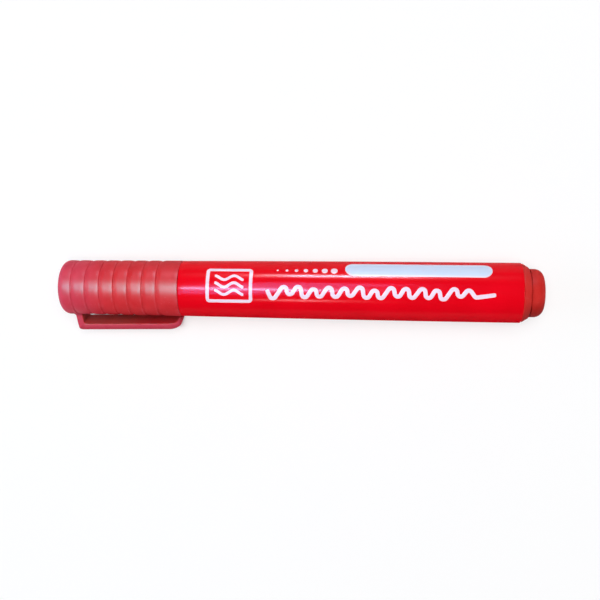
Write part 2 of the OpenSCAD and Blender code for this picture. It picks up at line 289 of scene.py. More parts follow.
# moulded plastic of the cap: mottled and finely grained, paler along the ring edges by wear and partly as a
# painted glint. Painted shade darkens the grooves a little, the wall under the clip and the clip's faces
# that look at the cap, brown near its root; a painted sheen makes the closed end and the clip's sides pinker
# and bluer
capFinish = dict(
    fixed={"Specular IOR Level": 0.0, "Coat Roughness": 0.38}, body=(0.60, 0.018, 0.024),
    pale=(0.65, 0.028, 0.036), deep=(0.45, 0.012, 0.016), wearAndGlint=(0.72, 0.14, 0.19),
    grime=(0.20, 0.006, 0.005), haze=(0.62, 0.075, 0.15), dust=(0.17, 0.052, 0.036),
    mottle=(0.22, 4.0), paleSpan=(0.3, 0.7), grain=(5.5, 2.0), grooveShadeTint=0.06,
    rubbed=(0.5, 3.0, 0.38, 0.7), speck=(1.6, 1.0, 0.70, 0.78), wornTint=(0.0, 0.25, 0.25),
    rough=(0.38, 0.10, 0.12), gloss=(0.24, 0.08), relief=(0.0, 0.6, 0.4), bump=(0.22, 0.00006))


def paintCap(mm, f):
    mottle, groove, grime = mm.noise(*f["mottle"]), mm.mark("groove"), mm.mark("grime")
    edge = mm.mark("edge") * mm.patches(*f["rubbed"])
    tone = mottle.span(*f["paleSpan"]).mix(f["body"], f["pale"])
    # a little painted shade in the grooves
    tone = (groove * f["grooveShadeTint"]).mix(tone, f["deep"])
    # a painted sheen, pinker and bluer, at the closed end and on the clip's sides
    tone = mm.mark("haze").mix(tone, f["haze"])
    # paler edges and specks: wear, and on the cap's edges partly a painted glint
    tone = total(f["wornTint"], edge, mm.patches(*f["speck"])).mix(tone, f["wearAndGlint"])
    # painted shade on the wall under the clip and on the clip's hidden faces, outer face and tip
    tone = grime.mix(tone, f["grime"])
    # a brown painted shade on the clip's hidden faces near its root
    return {"Base Color": mm.mark("dust").mix(tone, f["dust"]),
            "Roughness": total(f["rough"], mottle, groove),
            "Coat Weight": total(f["gloss"], mottle) * (1 - grime) * (1 - mm.mark("dull")),
            "Normal": total(f["relief"], mm.noise(*f["grain"]), mottle).bump(*f["bump"])}


# lacquered barrel: clean red with drawing lines along it, faint smudges, and a chipped edge at the tail
barrelFinish = dict(
    fixed={"Specular IOR Level": 0.0, "Coat Roughness": 0.17}, body=(0.82, 0.0012, 0.010),
    deep=(0.76, 0.0009, 0.008), chip=(0.92, 0.55, 0.56), drift=(0.05, 2.0, 0.35, 0.65),
    lines=(2.2, 4.0), lineStretch=(0.04, 1.0, 1.0), smudge=(0.11, 5.0, 0.48, 0.72, 0.65),
    scratch=(3.0, 2.0, 0.66, 0.72), scratchStretch=(0.5, 0.06, 0.5),
    crumble=(1.9, 3.0, 0.6), crumbleMiddle=0.5, crumbleReach=1.6, chipSpan=(0.86, 0.98),
    rough=(0.09, 0.04, 0.07, 0.05, 0.3), gloss=(0.22, -0.05, -0.04), relief=(0.0, 0.7, 0.3),
    bump=(0.05, 0.00003))


def paintBarrel(mm, f):
    lines = mm.stretch(*f["lineStretch"]).noise(*f["lines"])
    smudge = mm.patches(*f["smudge"])
    scratch = mm.stretch(*f["scratchStretch"]).patches(*f["scratch"])
    crumble = (mm.noise(*f["crumble"]) - f["crumbleMiddle"]) * f["crumbleReach"]
    chip = (mm.mark("chip") + crumble).span(*f["chipSpan"])
    tone = mm.patches(*f["drift"]).mix(f["body"], f["deep"])
    return {"Base Color": chip.mix(tone, f["chip"]),
            "Roughness": total(f["rough"], lines, smudge, scratch, chip),
            "Coat Weight": total(f["gloss"], smudge, scratch) * (1 - chip) * (1 - mm.mark("dull")),
            "Normal": total(f["relief"], lines, scratch).bump(*f["bump"])}


# screen-printed ink: slightly uneven, with pinholes where the red shows, and white along a rim
inkFinish = dict(
    fixed={"Specular IOR Level": 0.2}, full=(0.86, 0.70, 0.82), thin=(0.84, 0.42, 0.50),
    rim=(0.86, 0.70, 0.82), rimTint=0.85, cover=(0.9, 4.0, 0.6), thinSpan=(0.50, 0.80),
    hole=(3.2, 2.0, 0.71, 0.76), thinTint=(0.0, 0.35, 0.5), rough=(0.26, 0.08), bump=(0.06, 0.00003))
blueFinish = dict(inkFinish, full=(0.61, 0.73, 0.93), thin=(0.70, 0.60, 0.76))


def paintInk(mm, f):
    cover = mm.noise(*f["cover"])
    gone = total(f["thinTint"], cover.span(*f["thinSpan"]), mm.patches(*f["hole"]))
    return {"Base Color": (mm.mark("rim") * f["rimTint"]).mix(gone.mix(f["full"], f["thin"]), f["rim"]),
            "Roughness": total(f["rough"], cover),
            "Normal": cover.bump(*f["bump"])}


# plain moulded red of the tail plug and the nib holder, with scuffs along it; painted shade darkens the
# groove by the collar and the low side by the clip
plugFinish = dict(
    fixed={"Specular IOR Level": 0.0, "Coat Roughness": 0.48}, body=(0.56, 0.021, 0.017),
    pale=(0.60, 0.030, 0.025), wearAndGlint=(0.64, 0.08, 0.07), deep=(0.30, 0.006, 0.004),
    collar=(0.72, 0.044, 0.038), mottle=(0.3, 4.0), paleSpan=(0.3, 0.7), grain=(5.0, 2.0),
    scuff=(1.4, 3.0, 0.60, 0.74), scuffStretch=(0.3, 1.0, 1.0), wornTint=0.35,
    rough=(0.46, 0.08, 0.06), gloss=(0.20, -0.06), relief=(0.0, 0.6, 0.4), bump=(0.22, 0.00006))


def paintPlug(mm, f):
    mottle = mm.noise(*f["mottle"])
    scuff = mm.stretch(*f["scuffStretch"]).patches(*f["scuff"])
    tone = mottle.span(*f["paleSpan"]).mix(f["body"], f["pale"])
    tone = (scuff * f["wornTint"]).mix(tone, f["wearAndGlint"])
    tone = mm.mark("collar").mix(tone, f["collar"])
    # the groove mark carries painted shade: darker in the groove and on the low side by the clip
    return {"Base Color": mm.mark("groove").mix(tone, f["deep"]),
            "Coat Weight": total(f["gloss"], scuff),
            "Roughness": total(f["rough"], mottle, scuff),
            "Normal": total(f["relief"], mm.noise(*f["grain"]), mottle).bump(*f["bump"])}


# waxy natural plastic of the sealing liner, faintly stained by ink; its closed end is painted dark red, as
# the shade that is seen through the cap's vents
linerFinish = dict(
    body=(0.84, 0.82, 0.77), warm=(0.78, 0.73, 0.66), stained=(0.78, 0.42, 0.42),
    inked=(0.30, 0.030, 0.035), cloud=(0.35, 4.0), warmSpan=(0.3, 0.7),
    stainAndShade=(0.5, 3.0, 0.56, 0.74), stainTint=0.4, rough=(0.42, 0.12), grain=(3.0, 2.0), bump=(0.15, 0.00004))


def paintLiner(mm, f):
    cloud = mm.noise(*f["cloud"])
    tone = cloud.span(*f["warmSpan"]).mix(f["body"], f["warm"])
    tone = (mm.patches(*f["stainAndShade"]) * f["stainTint"]).mix(tone, f["stained"])
    # the closed end is painted dark as shade seen through the vents
    return {"Base Color": mm.mark("inked").mix(tone, f["inked"]),
            "Roughness": total(f["rough"], cloud),
            "Normal": mm.noise(*f["grain"]).bump(*f["bump"])}


# bundled fibres soaked in ink, which run along the marker; the core's are paler than the nib's
fibreFinish = dict(
    fixed={"Specular IOR Level": 0.2}, wet=(0.34, 0.006, 0.018), dry=(0.58, 0.030, 0.050),
    strand=(9.0, 3.0, 0.7), strandStretch=(0.12, 1.0, 1.0), strandSpan=(0.35, 0.65),
    cloud=(0.5, 3.0), dryTint=(0.0, 0.7, 0.3), rough=(0.70, 0.25), bump=(0.5, 0.00008))
coreFinish = dict(fibreFinish, wet=fibreFinish["dry"], dry=(0.66, 0.12, 0.15))


def paintFibre(mm, f):
    strand = mm.stretch(*f["strandStretch"]).noise(*f["strand"])
    dry = total(f["dryTint"], strand.span(*f["strandSpan"]), mm.noise(*f["cloud"]))
    return {"Base Color": dry.mix(f["wet"], f["dry"]),
            "Roughness": total(f["rough"], strand),
            "Normal": strand.bump(*f["bump"])}


# clear film round the reservoir
filmFinish = dict(
    fixed={"Alpha": 0.35}, body=(0.90, 0.80, 0.81), pale=(0.94, 0.90, 0.90),
    wrinkle=(0.8, 3.0), wrinkleStretch=(1.0, 0.4, 0.4), rough=(0.12, 0.15), bump=(0.3, 0.0001))


def paintFilm(mm, f):
    wrinkle = mm.stretch(*f["wrinkleStretch"]).noise(*f["wrinkle"])
    return {"Base Color": wrinkle.mix(f["body"], f["pale"]),
            "Roughness": total(f["rough"], wrinkle),
            "Normal": wrinkle.bump(*f["bump"])}


capPlastic = finish("capPlastic", paintCap, capFinish)
barrelGloss = finish("barrelGloss", paintBarrel, barrelFinish)
inkWhite = finish("inkWhite", paintInk, inkFinish)
inkBlue = finish("inkBlue", paintInk, blueFinish)
plugPlastic = finish("plugPlastic", paintPlug, plugFinish)
linerPlastic = finish("linerPlastic", paintLiner, linerFinish)
nibFibre = finish("nibFibre", paintFibre, fibreFinish)
coreFibre = finish("coreFibre", paintFibre, coreFinish)
clearFilm = finish("clearFilm", paintFilm, filmFinish)
print("finishes: plastics, inks, fibres and film")


def carry(piece, material, body, slot=None, *nodes):
    # gives a piece its material and the body that it rides on, and hides the solids that it replaces
    piece.data.materials.append(material)
    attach(piece, body)
    if nodes:
        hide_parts(*nodes)


# cap: a ribbed shell with vents in its closed end. Head and mouth are (along, radius, fillet), with the side
# between them; rows are points (from, to, count) round a groove's bottom; a fade is (start, length)
capShape = dict(
    length=35.0, rim=8.0, end=7.8, side=(2.6, 33.6), columns=224,
    head=[(0.12, 0, 0), (0.12, 0.6, 0.1), (0, 0.95, 0.1), (0, 1.7, 0), (0, 4.9, 0), (0, 7.8, 2.2)],
    mouth=[(35, 8.0, 0.14), (35, 7.4, 0.12), (33.95, 7.4, 0.1), (33.95, 7.2, 0.05), (33.55, 6.8, 0.15),
           (19.6, 6.8, 0.1), (19.2, 6.6, 0.1), (1.8, 6.6, 0.4), (1.8, 0, 0)],
    grooves=7, first=4.3, pitch=4.11, before=1.6, depth=0.30, drop=0.42, ramp=1.3, fall=1.45, round=0.08,
    rows=[(-1.5, -0.45, 12), (-0.40, 0.0, 11), (0.05, 1.35, 11), (1.9, 1.9, 1)],
    vents=4, ventRadius=1.0, ventCircle=3.2, ventColumns=40,
    ventTool=[(-1.0, 0), (-1.0, 1.25), (0.0, 1.16), (0.16, 1.0), (3.0, 1.0), (3.0, 0)],
    # the ring edges and the rim are paler, by wear and partly as a painted glint
    wearAndGlintBefore=0.50, wearAndGlintWidth=0.18, rimWearAndGlint=0.2, rimInner=7.6,
    # painted shade on the cap's wall under the clip
    grime=0.5, shadeTurn=42, shadeFade=(4.5, 3), dull=0.8, dullFade=(5, 7),
    # a painted sheen, pinker and bluer, towards the closed end
    haze=0.4, sheenFade=(3, 14), endSheen=0.25, endFade=(0, 3))


def capRadius(z):
    # a straight taper from the closed end to the rim
    c = capShape
    return c["end"] + (c["rim"] - c["end"]) * z / c["length"]


def pastGroove(z):
    # distance past the nearest groove's bottom, negative on its steep side
    c = capShape
    k = np.floor((z - c["first"] + c["before"]) / c["pitch"])
    return z - c["first"] - c["pitch"] * np.clip(k, 0, c["grooves"] - 1)


def grooveDepth(z):
    # the steep side is a level-ended step, the gentle side rises with the power 1.5
    s = pastGroove(z)
    gentle = np.clip(1 - s / capShape["ramp"], 0, 1) ** 1.5
    return np.where(s < 0, smooth(1 + s / capShape["drop"]), gentle)


def shoulder(z):
    # each ring's last millimetre falls away in a parabola, and stays down under the groove's steep side
    s, fall = pastGroove(z), capShape["fall"]
    t = np.clip((s + fall) / (fall - capShape["drop"]), 0, 1)
    return capShape["round"] * np.where(s < 0, t * t, 0)


# the gloss is rubbed off above the clip; both in degrees
rubbed = dict(turn=-45, width=32)


def rubbedSide(turns):
    # a bell curve round the marker
    return bell(signed(turns - radians(rubbed["turn"])), radians(rubbed["width"]))


def capOutline():
    # the closed end, the rings and the mouth with the inside, as (along, radius)
    c = capShape
    start, end = [(z, capRadius(z), 0) for z in c["side"]]
    head, mouth = rounded(c["head"] + [start], steps=12), rounded([end] + c["mouth"], steps=5)
    spots = np.hstack([np.linspace(*row) for row in c["rows"]])
    z = (c["first"] + c["pitch"] * np.arange(c["grooves"])[:, None] + spots).ravel()
    rings = np.stack([z, capRadius(z) - np.maximum(c["depth"] * grooveDepth(z), shoulder(z))], -1)
    line = np.vstack([head, rings, mouth])
    return line, np.arange(len(line)) < len(head) + len(rings)


def makeCap():
    # the outline turned once round the axis, less the vents
    c = capShape
    line, outer = capOutline()
    along, radius = line[:, :1], line[:, 1:]
    turns = signed(around(c["columns"])[None, :])
    # paler ring edges and rim: wear, and partly a painted glint on the ring lips
    edge = np.where(outer, bell(pastGroove(line[:, 0]) + c["wearAndGlintBefore"], c["wearAndGlintWidth"]), 0)[:, None]
    rim = bell(along - c["length"], c["rimWearAndGlint"]) * (radius > c["rimInner"])
    # painted shade on the wall under the clip
    grime = c["grime"] * bell(turns, radians(c["shadeTurn"])) * fadeIn(along, *c["shadeFade"])
    # the closed end gets a painted sheen, pinker and bluer
    haze = c["haze"] * (1 - fadeIn(along, *c["sheenFade"]))
    haze = haze + c["endSheen"] * (1 - fadeIn(along, *c["endFade"]))
    marks = {"groove": np.where(outer, grooveDepth(line[:, 0]), 0)[:, None],
             "edge": np.maximum(edge, rim),
             "grime": grime * outer[:, None],
             "haze": np.where(outer[:, None], haze, 0),
             "dull": c["dull"] * rubbedSide(turns) * fadeIn(along, *c["dullFade"])}
    shell = lathe("capShell", line, c["columns"], marks=marks)
    # each vent is a round cutter with a flared mouth, (along, share of the vent's radius)
    tool = np.array(c["ventTool"])
    t = pi / c["vents"] + around(c["vents"])[:, None, None]
    swing = around(c["ventColumns"])[None, None, :]
    out = c["ventCircle"] * np.cos(t) + c["ventRadius"] * tool[None, :, 1:] * np.cos(swing)
    side = c["ventCircle"] * np.sin(t) + c["ventRadius"] * tool[None, :, 1:] * np.sin(swing)
    cutAway(shell, skin("ventCutter", placeFlat(tool[None, :, :1], out, side)))
    return shell


weld = 3e-6  # points that the cut leaves closer than this, in metres, become one


def cutAway(piece, cutter):
    # an exact Boolean, made final at once so that no live modifier stays on the piece
    tool = piece.modifiers.new("cut", "BOOLEAN")
    tool.operation, tool.solver, tool.object = "DIFFERENCE", "EXACT", cutter
    whole = piece.data
    piece.data = bpy.data.meshes.new_from_object(piece.evaluated_get(bpy.context.evaluated_depsgraph_get()))
    piece.modifiers.clear()
    clean = bmesh.new()
    clean.from_mesh(piece.data)
    bmesh.ops.remove_doubles(clean, verts=clean.verts, dist=weld)
    bmesh.ops.dissolve_degenerate(clean, edges=clean.edges, dist=weld)
    clean.to_mesh(piece.data)
    clean.free()
    piece.data.name = piece.name
    piece.data.shade_smooth()
    piece.data.set_sharp_from_angle(angle=radians(creaseAngle))
    bpy.data.meshes.remove(whole)
    bpy.data.objects.remove(cutter)


# clip: a rounded strip that goes out of the cap's wall, round a bend and along to its nose. Out counts from
# the axis, and a sweep is (from, to, count) in degrees
clipShape = dict(
    start=2.8, lean=0.25, root=2.0, sunk=6.95, footOut=8.4, footHeight=1.2, fillet=0.35, flare=0.16,
    bendRounds=(0.85, 0.8), bendSteps=9,
    reach=13.1, tipReach=12.5, thick=2.1, tipThick=1.5, halfWidth=2.75, corner=1.4,
    bend=30.1, end=34.5, noseOut=8.95, noseAlong=33.9, noseRound=0.6,
    tipSweep=(4, 90, 26), hookSweep=(0, 70, 14), noseSweep=(98, 152, 8), noseEnd=(206, 206, 1),
    counts=(40, 40, 44), quarterSteps=7,
    innerEdge=0.28, outerEdge=0.24, edgeFade=(10.6, 1.6), edgeShare=0.3,
    # painted shade on the faces that look at the cap, brown near the root, and on the outer face and the tip
    clear=7.9, rootEnd=7, lookGain=1.6, lookFloor=0.2, gapShade=0.5, sideUnshaded=0.9, brownFade=(16, 10),
    outerShade=0.4, outerGain=1.4, tipShade=0.6, tipFade=(32.4, 1.8),
    # a painted sheen on the clip's sides and by its root
    sideSheen=0.55, sideFade=(0.3, 0.5), sideFlat=0.99, rootSheen=0.5, rootFade=(3, 9),
    edgeWearAndGlint=0.8, wearAndGlintAt=0.7, wearAndGlintWidth=0.35)


def stretches(path, stops, counts):
    # the path is cut at its points nearest to the stops, and each stretch gets its own count of even steps
    cuts = [0] + [int(np.argmin(np.linalg.norm(path - s, axis=1))) for s in stops] + [len(path) - 1]
    runs = [spaced(path[a:b + 1], n + 1)[:-1] for a, b, n in zip(cuts, cuts[1:], counts)]
    return np.vstack(runs + [path[-1:]])


def clipSides():
    # the outer and the inner side as (out, along), with as many points each, so that points pair up
    c = clipShape
    slope = c["lean"] / (c["reach"] - capShape["rim"])
    under = c["reach"] - c["thick"]

    def front(out):
        # leans towards the barrel as it goes out
        return c["start"] + (out - capShape["rim"]) * slope

    def back(out):
        # as far behind the front as the root is thick
        return front(out) + c["root"] * hypot(1, slope)

    def bow(sweep, out, along):
        # part of an ellipse about the start of the tip
        a = np.radians(np.linspace(*sweep))
        return np.stack([c["noseOut"] + out * np.cos(a), c["bend"] + along * np.sin(a)], -1)

    def nose(sweep):
        # part of a circle
        a = np.radians(np.linspace(*sweep))
        return c["noseRound"] * np.stack([np.cos(a), np.sin(a)], -1) + (c["noseOut"], c["noseAlong"])

    outer = rounded([(c["sunk"], front(c["sunk"]), 0), (c["reach"], front(c["reach"]), c["bendRounds"][0]),
                     (c["tipReach"], c["bend"], 0)], c["bendSteps"])
    tip = bow(c["tipSweep"], c["tipReach"] - c["noseOut"], c["end"] - c["bend"])
    outer = np.vstack([outer, tip, nose(c["noseSweep"])])
    hook = bow(c["hookSweep"], c["tipReach"] - c["thick"] - c["noseOut"],
               c["end"] - c["bend"] - c["tipThick"])
    inner = rounded([(c["sunk"], back(c["sunk"]), 0), (under, back(under), c["bendRounds"][1]),
                     tuple(hook[0]) + (0,)], c["bendSteps"])
    inner = np.vstack([inner, hook[1:], nose(c["noseEnd"])])
    outer = stretches(outer, [(c["reach"], front(c["reach"])), (c["tipReach"], c["bend"])], c["counts"])
    inner = stretches(inner, [(under, back(under)), hook[0]], c["counts"])
    outer[:, 1] -= c["fillet"] * clipFoot(outer[:, 0], outer[:, 1])
    inner[:, 1] += c["fillet"] * clipFoot(inner[:, 0], inner[:, 1])
    return outer, inner


def clipFoot(out, along):
    # rises smoothly to 1 towards the cap's wall, on the root alone
    c = clipShape
    return smooth((c["footOut"] - out) / c["footHeight"]) ** 2 * (along < c["bend"])


def facing(path, away):
    # square to the path, on the side that points away
    side = rightOf(np.gradient(path, axis=0))
    return side * np.sign(np.sum(side * away, 1, keepdims=True))


def makeClip():
    # at each pair of points the section is a rectangle with four quarter rounds
    c = clipShape
    outer, inner = clipSides()
    thick = np.linalg.norm(outer - inner, axis=1, keepdims=True)
    through = (outer - inner) / thick
    quarter = np.radians(np.linspace(0, 90, c["quarterSteps"]))
    turn = np.hstack([quarter, quarter[::-1], quarter, quarter[::-1]])
    onOuter = np.repeat([True, False, False, True], len(quarter))
    side = np.repeat([1, 1, -1, -1], len(quarter))

    def pick(first, second, k):
        # a value of the outer side for its columns, and of the inner side for the others
        return np.where(onOuter, first[:, k, None], second[:, k, None])

    out, along = pick(outer, inner, 0), pick(outer, inner, 1)
    # rounder on the outer face than on the inner one
    edge = np.minimum(c["innerEdge"] + c["outerEdge"] * fadeIn(out, *c["edgeFade"]), c["edgeShare"] * thick)
    # the tip's corners are round in plan, and the root flares into the cap
    past = np.clip(along - (c["end"] - c["corner"]), 0, c["corner"])
    half = c["halfWidth"] - c["corner"] + np.sqrt(c["corner"] ** 2 - past ** 2)
    half = half * (1 + c["flare"] * clipFoot(out, along))
    drawn = np.where(onOuter, -1, 1) * edge * (1 - np.cos(turn))
    across = side * (half - edge + edge * np.sin(turn))
    grid = placeFlat(along + drawn * through[:, 1:], out + drawn * through[:, :1], across)
    looks = [facing(outer, through), facing(inner, -through)]
    marks = clipMarks(out, along, pick(*looks, 0), pick(*looks, 1), np.sin(turn)[None])
    return skin("capClip", grid, "face", marks)


def clipMarks(out, along, lookOut, lookAlong, rise):
    # rise is 0 in the middle of a face and 1 on the strip's sides
    c = clipShape

    def turnedTo(look):
        # from 0 to 1 as a face turns that way
        return smooth(look * c["lookGain"] - c["lookFloor"])

    # painted shade is behind the root and on the faces that look at the cap, brown near the root and dark
    # red further on; more painted shade is on the outer face and at the tip
    clear = out > c["clear"]
    behind = np.maximum(turnedTo(-lookOut), turnedTo(lookAlong) * (along < c["rootEnd"]))
    gapShade = c["gapShade"] * behind * clear * (1 - c["sideUnshaded"] * rise ** 4)
    brownShare = 1 - fadeIn(along, *c["brownFade"])
    outer = c["outerShade"] * turnedTo(lookOut) * smooth(rise * c["outerGain"])
    grime = np.maximum(gapShade * (1 - brownShare), outer)
    # the sides get a painted sheen, and so does the end that is next to the cap's
    haze = np.maximum((1 - behind) * fadeIn(rise, *c["sideFade"]) * clear, rise > c["sideFlat"])
    ended = c["rootSheen"] * (1 - behind) * (1 - fadeIn(along, *c["rootFade"]))
    # the edges are paler: wear, and partly a painted glint
    return {"edge": c["edgeWearAndGlint"] * bell(rise - c["wearAndGlintAt"], c["wearAndGlintWidth"]),
            "grime": np.maximum(grime, c["tipShade"] * fadeIn(along, *c["tipFade"])),
            "haze": np.maximum(c["sideSheen"] * haze, ended),
            "dust": gapShade * brownShare}


# fins that hold the liner: one outline (out, along, fillet), turned round the axis
finShape = dict(
    outline=[(3.45, 1.5, 0), (6.9, 1.5, 0), (6.9, 14.8, 0.1), (5.55, 14.8, 0.3), (4.85, 13.4, 0.2),
             (4.85, 3.8, 0), (3.45, 3.8, 0.2)],
    half=0.45, bevel=0.07, count=4)


def makeFins():
    # four copies of the outline make a fin, and the outer two are drawn in by the bevel
    s = finShape
    outline = rounded(s["outline"], steps=4)
    flat = s["half"] - s["bevel"]
    across = np.array([-s["half"], -flat, flat, s["half"]])[:, None]
    drawn = s["bevel"] * np.array([1, 0, 0, 1])[:, None, None]
    inset = outline[None] - outward(outline)[None] * drawn
    t = around(s["count"])[:, None, None]
    out = inset[None, ..., 0] * np.cos(t) - across[None] * np.sin(t)
    side = inset[None, ..., 0] * np.sin(t) + across[None] * np.cos(t)
    return skin("capFins", placeFlat(np.broadcast_to(inset[None, ..., 1], out.shape), out, side), "face")


# sealing liner: a cup, as (along, radius, fillet); its closed end is painted dark, as shade behind the vents
linerShape = dict(
    outline=[(3.8, 0, 0), (3.8, 4.85, 0.4), (19.6, 4.85, 0.3), (19.6, 4.4, 0.1), (18.8, 4.0, 0.4),
             (4.8, 4.0, 0.6), (4.8, 0, 0)],
    shadedTo=4.3, columns=128)


def makeLiner():
    # turned once round the axis, and painted dark up to one level, as shade behind the cap's vents
    line = rounded(linerShape["outline"], steps=6)
    inked = 1.0 * (line[:, :1] < linerShape["shadedTo"])
    return lathe("sealLiner", line, linerShape["columns"], marks={"inked": inked})


carry(makeCap(), capPlastic, "cap", "cap_plastic", "cap")
carry(makeClip(), capPlastic, "cap", "cap_plastic", "cap")
carry(makeFins(), capPlastic, "cap", "cap_plastic", "cap")
carry(makeLiner(), linerPlastic, "cap", "liner_plastic", "cap_liner")
print("cap: shell, clip, fins and liner")

# barrel: a tube that swells to the tail, listed like the cap; the tail's edge is chipped, low by the clip
barrelShape = dict(
    front=35.08, tail=130.8, frontRadius=7.95, tailRadius=8.4, columns=224,
    head=[(35.08, 6.5, 0), (35.08, 7.95, 0.14)], side=(37, 130), swell=(39, 129, 46),
    rear=[(130.8, 8.4, 0.3), (130.8, 6.9, 0.1), (47.2, 6.9, 0), (45.2, 6.5, 0)],
    chipTurn=-36, chipSpread=(0.88, 0.10), chipWidth=0.9, chipInner=8.1, dull=0.92)


def barrelRadius(z):
    # a parabola that is level at the tail
    b = barrelShape
    before = (b["tail"] - z) / (b["tail"] - b["front"])
    return b["tailRadius"] - (b["tailRadius"] - b["frontRadius"]) * before ** 2


def makeBarrel():
    # head, swell and rear make one outline, turned once round the axis
    b = barrelShape
    start, end = [(z, barrelRadius(z), 0) for z in b["side"]]
    z = np.linspace(*b["swell"])
    swell = np.stack([z, barrelRadius(z)], -1)
    line = np.vstack([rounded(b["head"] + [start], steps=8), swell, rounded([end] + b["rear"], steps=8)])
    turns = around(b["columns"])[None, :]
    low = fadeIn(np.cos(turns - radians(b["chipTurn"])), *b["chipSpread"])
    chip = bell(line[:, :1] - b["tail"], b["chipWidth"]) * (line[:, 1:] > b["chipInner"]) * low
    marks = {"chip": chip, "dull": b["dull"] * rubbedSide(turns)}
    return lathe("barrelTube", line, b["columns"], "loop", marks)


# nib holder, as (along, radius, fillet): neck with a bead, shoulder, seat with two beads, flange, plug, and
# the inside, where flutes open the nib's bore
holderShape = dict(
    outline=[
        (15.6, 2.75, 0), (15.6, 3.85, 0.55), (16.75, 3.85, 0.3), (17.25, 3.95, 0.2), (17.75, 3.95, 0.2),
        (18.25, 3.85, 0.3), (20.8, 3.85, 0.2), (20.8, 4.45, 0.2), (25.2, 6.3, 0.25), (25.45, 6.55, 0.2),
        (26.5, 6.55, 0.3), (26.95, 6.75, 0.25), (27.45, 6.75, 0.25), (27.9, 6.55, 0.3), (31.5, 6.55, 0.3),
        (31.95, 6.75, 0.25), (32.45, 6.75, 0.25), (32.9, 6.55, 0.3), (34.2, 6.55, 0.15), (34.2, 7.2, 0.25),
        (35.2, 7.2, 0.05), (35.2, 6.45, 0.05), (43.6, 6.45, 0.1), (44.2, 5.9, 0.1), (44.2, 5.3, 0.1),
        (28.2, 5.3, 0.3), (23.8, 3.1, 0.1), (23.8, 2.5, 0), (15.85, 2.5, 0)],
    bore=2.5, boreWithin=(23.9, 2.8), flutes=4, fluteWidth=0.8, fluteDepth=0.5, columns=216)


def makeHolder():
    # turned once round the axis; in the bore the radius grows by the depth of a flute where the arc to its
    # middle is under half its width
    h = holderShape
    line = rounded(h["outline"], steps=5)
    turns = around(h["columns"])[None, :]
    gap = turns * h["flutes"] / (2 * pi) % 1.0 - 0.5
    flute = np.abs(gap) * 2 * pi * h["bore"] / h["flutes"] < h["fluteWidth"] / 2
    inBore = np.all(line < h["boreWithin"], 1, keepdims=True)
    radius = line[:, 1:] + h["fluteDepth"] * inBore * flute
    return skin("nibHolder", place(line[:, :1], radius, turns), "loop")


# nib: a rod with a round tip, its sizes counted from the tip
nibShape = dict(start=9.6, radius=2.48, tipTurn=60, tipSteps=9, bendSteps=16, sideStart=3.6,
                rows=(8.0, 20.0, 39.0), end=40.6, endRadius=0.83, columns=96, crease=50)


def makeNib():
    # a tip of radius 1, then a curve that leaves it at its own slope and runs into the side of the rod
    n = nibShape
    r = n["radius"]
    a = np.radians(np.linspace(0, n["tipTurn"], n["tipSteps"]))[:, None]
    tip = np.hstack([np.sin(a), 1 - np.cos(a)])
    aim = np.array([r, tip[-1, 1] + (r - tip[-1, 0]) * tan(radians(n["tipTurn"]))])
    f = np.linspace(0, 1, n["bendSteps"])[1:, None]
    bend = (1 - f) ** 2 * tip[-1] + 2 * f * (1 - f) * aim + f * f * np.array([r, n["sideStart"]])
    rod = np.array([(r, z) for z in n["rows"]] + [(n["endRadius"], n["end"]), (0, n["end"])])
    line = np.vstack([tip, bend, rod])
    line = np.stack([n["start"] + line[:, 1], line[:, 0]], -1)
    return lathe("bulletNib", line, n["columns"], crease=n["crease"])


# reservoir, as (along, radius, fillet): a rod with a hole for the nib, and the film round it
coreShape = dict(
    outline=[(50.4, 0, 0), (50.4, 2.5, 0), (44.2, 2.5, 0), (44.2, 5.95, 0.3), (118.8, 5.95, 0.3),
             (118.8, 0, 0)],
    columns=96)
sleeveShape = dict(
    outline=[(44.6, 5.96, 0), (44.6, 6.05, 0), (118.4, 6.05, 0), (118.4, 5.96, 0)], columns=96)


def makeReservoir():
    # turned once round the axis
    return lathe("inkCore", rounded(coreShape["outline"], steps=5), coreShape["columns"])


def makeSleeve():
    # turned once round the axis, as a closed ring
    return lathe("coreSleeve", rounded(sleeveShape["outline"], steps=2), sleeveShape["columns"], "loop")


# tail plug, as (along, radius, fillet): its hollow, the pressed skirt, a bevelled collar and the peg
plugShape = dict(
    outline=[
        (135.4, 0, 0), (135.4, 5.2, 1.6), (130.8, 5.55, 0), (130.5, 5.6, 0), (118.8, 5.6, 0),
        (118.8, 6.3, 0.2), (120.0, 6.8, 0.2), (130.8, 6.8, 0), (130.8, 8.15, 0.06), (131.2, 8.15, 0.15),
        (132.8, 7.15, 0.18), (132.8, 6.3, 0.05), (133.2, 6.3, 0.05), (133.2, 6.75, 0.08), (137.0, 6.75, 2.6),
        (137.0, 1.4, 0.1), (136.85, 0.9, 0.1), (136.85, 0, 0)],
    columns=192, grooveAt=133.0, grooveWidth=0.28, grooveRadii=(6, 7.1), grooveShade=0.3,
    # painted shade in the groove and on the low side by the clip
    lowTurn=-35, lowGain=1.6, lowFloor=0.5,
    stainAndShade=0.66, pegShade=0.1, pegFade=(132.6, 0.6), shadeStart=130.9, shadeInner=5,
    tintAt=131.9, tintWidth=0.6, tintInner=7)


